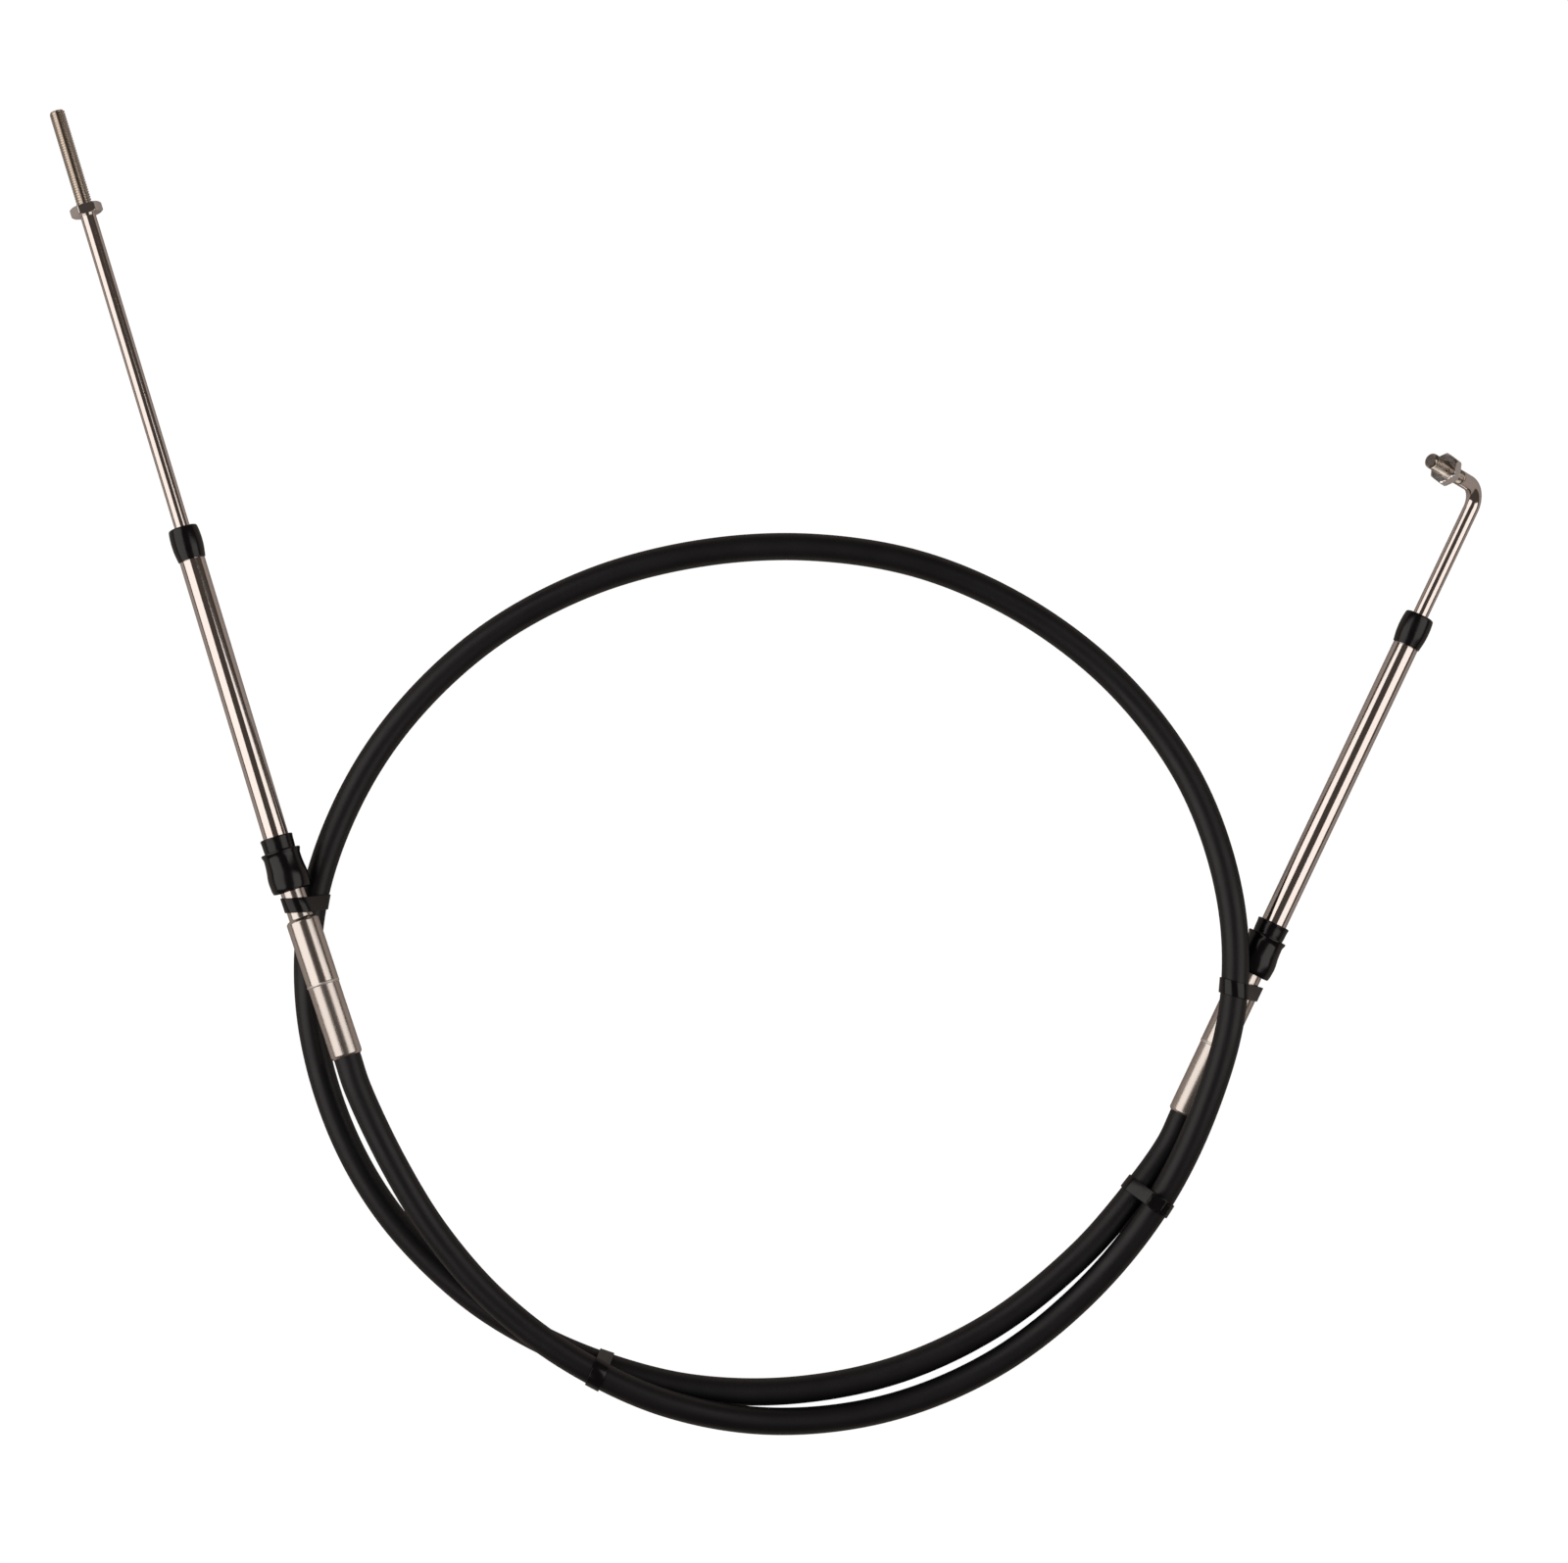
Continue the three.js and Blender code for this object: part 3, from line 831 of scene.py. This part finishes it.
def nut_mesh(name, origin, along, outer_face, roll, body, node):
    sides, half = NUT_SIDES, NUT_THICK / 2
    bore = ROD_R - THREAD_DEPTH + 0.1
    face_r = ACROSS_FLATS / 2 - 0.1
    rings = [(-half, bore + NUT_CHAMFER, False), (-half, face_r, False)]
    for i in range(NUT_RINGS + 1):
        t = -1 + 2 * i / NUT_RINGS
        x = half * math.copysign(1 - (1 - abs(t)) ** 1.6, t)
        rings.append((x, None, True))
    rings += [
        (half, face_r, False),
        (half, bore + NUT_CHAMFER, False),
        (half - NUT_CHAMFER, bore, False),
        (-half + NUT_CHAMFER, bore, False),
    ]
    place = basis(along, roll)
    verts, faces = [], []
    for x, r, is_side in rings:
        for k in range(sides):
            a = 2 * math.pi * (k + 0.5) / sides
            radius = r
            if is_side:
                cone = face_r + (half - abs(x)) * CONE_SLOPE
                radius = min(hexagon_radius(a + math.pi / 2), cone)
            spot = Vector((x + outer_face - half, radius * math.cos(a), radius * math.sin(a)))
            verts.append(origin + place @ (spot * MM))
    count = len(rings)
    for j in range(count):
        m = (j + 1) % count
        for k in range(sides):
            n = (k + 1) % sides
            faces.append((j * sides + k, m * sides + k, m * sides + n, j * sides + n))
    mesh = new_mesh(name, verts, faces)
    return add_piece(mesh, (nut_steel,), body, node, NUT_EDGE)


LEFT_NUT_FACE, LEFT_NUT_ROLL = 218.0, 9
RIGHT_NUT_FACE, RIGHT_NUT_ROLL = 21.0, 15
nut_mesh(
    "left_nut_hex", LEFT["ball"], LEFT["tube"], LEFT_NUT_FACE, LEFT_NUT_ROLL,
    "left_push_rod", "left_nut",
)
nut_mesh(
    "right_nut_hex", CORNER, LEG, RIGHT_NUT_FACE, RIGHT_NUT_ROLL,
    "right_push_rod", "right_nut",
)
print("two nuts,", ACROSS_FLATS, "mm across flats")

# %% [markdown]
# ## Cable ties
# A tie is a nylon strap pulled tight round two runs, so its path is the rubber
# band shape round two circles: the convex outline of both. Where the runs cross
# at an angle, a flat plane cuts each of them in an ellipse, so the strap is
# built from the outlines of two ellipses in planes side by side.

# %% Cut a run with a plane
def on_plane(point, along, origin, normal):
    return point + along * ((origin - point).dot(normal) / along.dot(normal))


def flat_cut(run, origin, axes, at, grow):
    """The ellipse that a plane cuts out of a round run: its centre, lean and radius."""
    along_run = run[1]
    across, up, normal = axes
    centre = on_plane(run[0], along_run, origin + normal * at * MM, normal) - origin
    lean = along_run / along_run.dot(normal)
    return (
        Vector((centre.dot(across), centre.dot(up))) / MM,
        Vector((lean.dot(across), lean.dot(up))),
        run[2] + grow,
    )


def reach(cut, out):
    """How far an ellipse reaches in a direction."""
    centre, lean, radius = cut
    return centre.dot(out) + radius * math.sqrt(1 + lean.dot(out) ** 2)


def edge_point(cut, out):
    """The point of an ellipse that faces a direction."""
    centre, lean, radius = cut
    return centre + (out + lean * lean.dot(out)) * radius / math.sqrt(1 + lean.dot(out) ** 2)


round_cut = (Vector((0, 0)), Vector((0, 0)), CONDUIT_D / 2)
print("a square cut reaches", reach(round_cut, Vector((1, 0))), "mm")

# %% [markdown]
# The band leaves one ellipse for the other where both reach equally far. That
# direction is found by halving the range of angles again and again.

# %% Strap outline
ARC_STEPS = 40
HALVINGS = 40


def strap_outline(a, b):
    """Outline of a band pulled tight round two ellipses, always the same count."""
    toward = math.atan2(*(b[0] - a[0]).yx)

    def out(angle):
        return Vector((math.cos(toward + angle), math.sin(toward + angle)))

    def leave(side):
        near, far = 0.0, math.pi
        for _ in range(HALVINGS):
            middle = (near + far) / 2
            if reach(b, out(side * middle)) > reach(a, out(side * middle)):
                near = middle
            else:
                far = middle
        return near

    left, right = leave(1), leave(-1)
    rest = 2 * math.pi - left - right
    steps = [i / ARC_STEPS for i in range(ARC_STEPS + 1)]
    return [edge_point(b, out(-right + (left + right) * t)) for t in steps] + [
        edge_point(a, out(left + rest * t)) for t in steps
    ]


print("an outline has", 2 * (ARC_STEPS + 1), "points")

# %% [markdown]
# Where a tie's head shows, it is a small box with rounded edges on top of the
# strap, with the cut tail standing out of it.

# %% Tie head
TIE_WIDTH = 4.6
TIE_THICK = 0.5
TIE_GAP = 0.05
HEAD = (5.0, 4.9, 3.3)
HEAD_ROUND = 0.5
HEAD_SINK = 0.5
HEAD_INWARD = 1.1
TAIL = (2.6, 3.4, 1.0)
TAIL_ROUND = 0.3
TAIL_OUT = 0.7
TAIL_DOWN = 0.6


def rounded_box(mesh, centre, axes, size, radius):
    """Adds a box with rounded edges to a mesh, sizes in millimetres."""
    bm = bmesh.new()
    turn = Matrix(axes).transposed().to_4x4()
    scale = Matrix.Diagonal((*(c * MM for c in size), 1))
    bmesh.ops.create_cube(bm, size=1, matrix=Matrix.Translation(centre) @ turn @ scale)
    bmesh.ops.bevel(bm, geom=bm.edges[:], offset=radius * MM, segments=3, affect="EDGES")
    bm.from_mesh(mesh)
    bm.to_mesh(mesh)
    bm.free()


def add_head(mesh, run, normal):
    """Puts the head on the higher run, turned away from the middle of the coil."""
    top = run[2] + TIE_GAP + TIE_THICK
    outward = run[0] - Vector((*(c * MM for c in COIL_CENTRE), run[0].z))
    up = Vector((0, 0, 1))
    across = up.cross(normal).normalized()
    across *= math.copysign(1, across.dot(outward))
    lift = top + HEAD[2] / 2 - HEAD_SINK
    centre = run[0] + (up * lift - across * HEAD_INWARD) * MM
    rounded_box(mesh, centre, (across, normal, up), HEAD, HEAD_ROUND)
    tail = centre + (across * (HEAD[0] / 2 + TAIL_OUT) - up * TAIL_DOWN) * MM
    rounded_box(mesh, tail, (across, normal, up), TAIL, TAIL_ROUND)


print("head", HEAD, "mm")

# %% [markdown]
# The strap's own section is a thin rectangle with rounded corners. Each point of
# it gives one ring round both runs, and the rings are joined side by side.

# %% Strap
STRAP_CORNER = 0.16
STRAP_EDGE = 50


def strap_section():
    """Points of the strap's section: across its width, and out from the runs."""
    section = []
    for quarter, (sx, sy) in enumerate(((1, 1), (-1, 1), (-1, -1), (1, -1))):
        for k in range(4):
            a = math.radians(90 * quarter + 30 * k)
            section.append((
                sx * (TIE_WIDTH / 2 - STRAP_CORNER) + STRAP_CORNER * math.cos(a),
                sy * (TIE_THICK / 2 - STRAP_CORNER) + STRAP_CORNER * math.sin(a),
            ))
    return section


def strap(name, first, second, node, head=False):
    """first and second are (point, direction, radius in mm) of the two runs."""
    origin = first[0]
    normal = first[1] + second[1] * math.copysign(1, first[1].dot(second[1]))
    normal.z = 0
    normal.normalize()
    across = Vector((0, 0, 1)).cross(normal).normalized()
    axes = (across, normal.cross(across), normal)
    rings = []
    for at, height in strap_section():
        grow = TIE_GAP + TIE_THICK / 2 + height
        a, b = (flat_cut(run, origin, axes, at, grow) for run in (first, second))
        rings.append([
            origin + (across * p.x + axes[1] * p.y + normal * at) * MM
            for p in strap_outline(a, b)
        ])
    verts = [p for ring in rings for p in ring]
    count, faces = len(rings[0]), []
    for j in range(len(rings)):
        here, there = j * count, (j + 1) % len(rings) * count
        for i in range(count):
            n = (i + 1) % count
            faces.append((here + i, there + i, there + n, here + n))
    mesh = new_mesh(name, verts, faces)
    if head:
        add_head(mesh, second if second[0].z > first[0].z else first, normal)
    return add_piece(mesh, (nylon,), "cable", node, STRAP_EDGE)


print("strap", TIE_WIDTH, "mm wide")

# %% [markdown]
# The runs of the conduit are looked up on its centreline by their angle round
# the coil, counted on past a full turn.

# %% Find a run by its angle
def unwound(line):
    cx, cy = (c * MM for c in COIL_CENTRE)
    turns, last = [], None
    for p in line:
        a = math.degrees(math.atan2(p.y - cy, p.x - cx))
        if last is None:
            last = a - 360 if a > 0 else a
        else:
            last += (a - last + 180) % 360 - 180
        turns.append(last)
    return turns


turns = unwound(centreline)


def run_at(angle):
    i = min(range(1, len(turns) - 1), key=lambda k: abs(turns[k] - angle))
    return centreline[i], (centreline[i + 1] - centreline[i - 1]).normalized(), CONDUIT_D / 2


def coil_angle(point):
    cx, cy = (c * MM for c in COIL_CENTRE)
    return math.degrees(math.atan2(point.y - cy, point.x - cx))


print(f"the coil runs from {turns[0]:.0f} to {turns[-1]:.0f} degrees")

# %% [markdown]
# Two ties hold an end fitting to the turn of conduit beside it, and two hold
# both turns together.

# %% The four ties
LEFT_TIE_AT, RIGHT_TIE_AT = -8.5, -15.0
left_neck = (on_axis(LEFT, "hub", LEFT_TIE_AT), LEFT["hub"], NECK_R)
right_hub = (on_axis(RIGHT, "hub", RIGHT_TIE_AT), RIGHT["hub"], HUB_R)
BOTTOM_ANGLE = -114
LOWER_RIGHT_ANGLE = -30
strap("left_tie_strap", left_neck, run_at(coil_angle(left_neck[0])), "left_tie")
strap("upper_right_tie_strap", right_hub, run_at(coil_angle(right_hub[0])), "upper_right_tie")
strap("bottom_tie_strap", run_at(BOTTOM_ANGLE), run_at(BOTTOM_ANGLE + 360), "bottom_tie")
strap(
    "lower_right_tie_strap", run_at(LOWER_RIGHT_ANGLE), run_at(LOWER_RIGHT_ANGLE + 360),
    "lower_right_tie", head=True,
)
print("four ties")

# %% [markdown]
# ## Studio
# The floor is plain and pale where the camera sees it. The light path node
# tells camera rays from the others: those see beige paper that darkens beyond
# the picture, which keeps the edges of the polished steel from burning out.

# %% Floor paper
PAPER = (0.70, 0.645, 0.61)
BEYOND = (0.05, 0.043, 0.04)
GLOW_STRENGTH = 1.2
GLOW_SHARE = 0.82


def floor_paper():
    mat, tree, shader = material("floor_paper", PAPER, 0.9, specular=0.1)
    place = tree.nodes.new("ShaderNodeNewGeometry")
    away = tree.nodes.new("ShaderNodeVectorMath")
    away.operation = "LENGTH"
    tree.links.new(place.outputs["Position"], away.inputs[0])
    tint(tree, shader, spread(tree, away.outputs["Value"], 0, 1), PAPER, BEYOND)
    glow = tree.nodes.new("ShaderNodeEmission")
    glow.inputs["Color"].default_value = (1.0, 1.0, 1.0, 1)
    glow.inputs["Strength"].default_value = GLOW_STRENGTH
    paper = tree.nodes.new("ShaderNodeMixShader")
    paper.inputs["Fac"].default_value = GLOW_SHARE
    tree.links.new(shader.outputs["BSDF"], paper.inputs[1])
    tree.links.new(glow.outputs["Emission"], paper.inputs[2])
    seen = tree.nodes.new("ShaderNodeMixShader")
    path = tree.nodes.new("ShaderNodeLightPath")
    tree.links.new(path.outputs["Is Camera Ray"], seen.inputs["Fac"])
    tree.links.new(shader.outputs["BSDF"], seen.inputs[1])
    tree.links.new(paper.outputs["Shader"], seen.inputs[2])
    output = tree.nodes["Material Output"]
    tree.links.new(seen.outputs["Shader"], output.inputs["Surface"])
    return mat


print("floor glows with", GLOW_STRENGTH)

# %% [markdown]
# The floor lies a fifth of a millimetre low, so that it never cuts the conduit.

# %% Floor
FLOOR_REACH = 3.0
FLOOR_DROP = 0.0002
floor_mesh = new_mesh(
    "floor",
    [(x * FLOOR_REACH, y * FLOOR_REACH, 0) for x, y in ((-1, -1), (1, -1), (1, 1), (-1, 1))],
    [(0, 1, 2, 3)],
)
floor_mesh.materials.append(floor_paper())
floor = bpy.data.objects.new("floor", floor_mesh)
floor.location.z = -FLOOR_DROP
scene.collection.objects.link(floor)
floor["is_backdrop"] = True
print("floor", 2 * FLOOR_REACH, "m wide")

# %% [markdown]
# Polished cylinders show long stripes, each the reflection of one lamp or of the
# dark gap between two. So the lamps are long soft boxes on both sides of the
# camera, and the gap between them draws the dark line down each tube.

# %% Lamps
LAMP_COLOR = (1.0, 0.955, 0.925)
ROOM_COLOR = (0.058, 0.047, 0.041)


def soft_box(name, inner, outer, y_from, y_to, radiance):
    """A flat lamp between two edges, each a distance to the side and a height."""
    (x0, z0), (x1, z1) = inner, outer
    light = bpy.data.lights.new(name, "AREA")
    light.shape = "RECTANGLE"
    light.size, light.size_y = math.hypot(x1 - x0, z1 - z0), y_to - y_from
    light.energy = radiance * math.pi * light.size * light.size_y
    light.color = LAMP_COLOR
    lamp = bpy.data.objects.new(name, light)
    lamp.location = ((x0 + x1) / 2, (y_from + y_to) / 2, (z0 + z1) / 2)
    lean = math.atan2(z0 - z1, abs(x1 - x0)) * (1 if x1 > x0 else -1)
    lamp.rotation_euler = (0, lean, 0)
    scene.collection.objects.link(lamp)
    return lamp


soft_box("box_left", (-0.72, 1.6), (-2.1, 0.33), -1.1, 1.25, 1.12)
soft_box("box_right", (0.76, 1.6), (1.9, 0.6), -0.85, 0.78, 1.1)
world = bpy.data.worlds.new("studio")
world.use_nodes = True
world.node_tree.nodes["Background"].inputs["Color"].default_value = (*ROOM_COLOR, 1)
world.node_tree.nodes["Background"].inputs["Strength"].default_value = 1.0
scene.world = world
scene.view_settings.view_transform = "Standard"
print("two soft boxes")

# %% [markdown]
# ## The size
# The box of the CAD model and the box of the finished one are printed side by side.

# %% Sizes
made_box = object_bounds()
for axis, a, b in zip("XYZ", cad_box[1] - cad_box[0], made_box[1] - made_box[0]):
    print(f"{axis}: CAD {a * 1000:.1f} mm, made {b * 1000:.1f} mm")
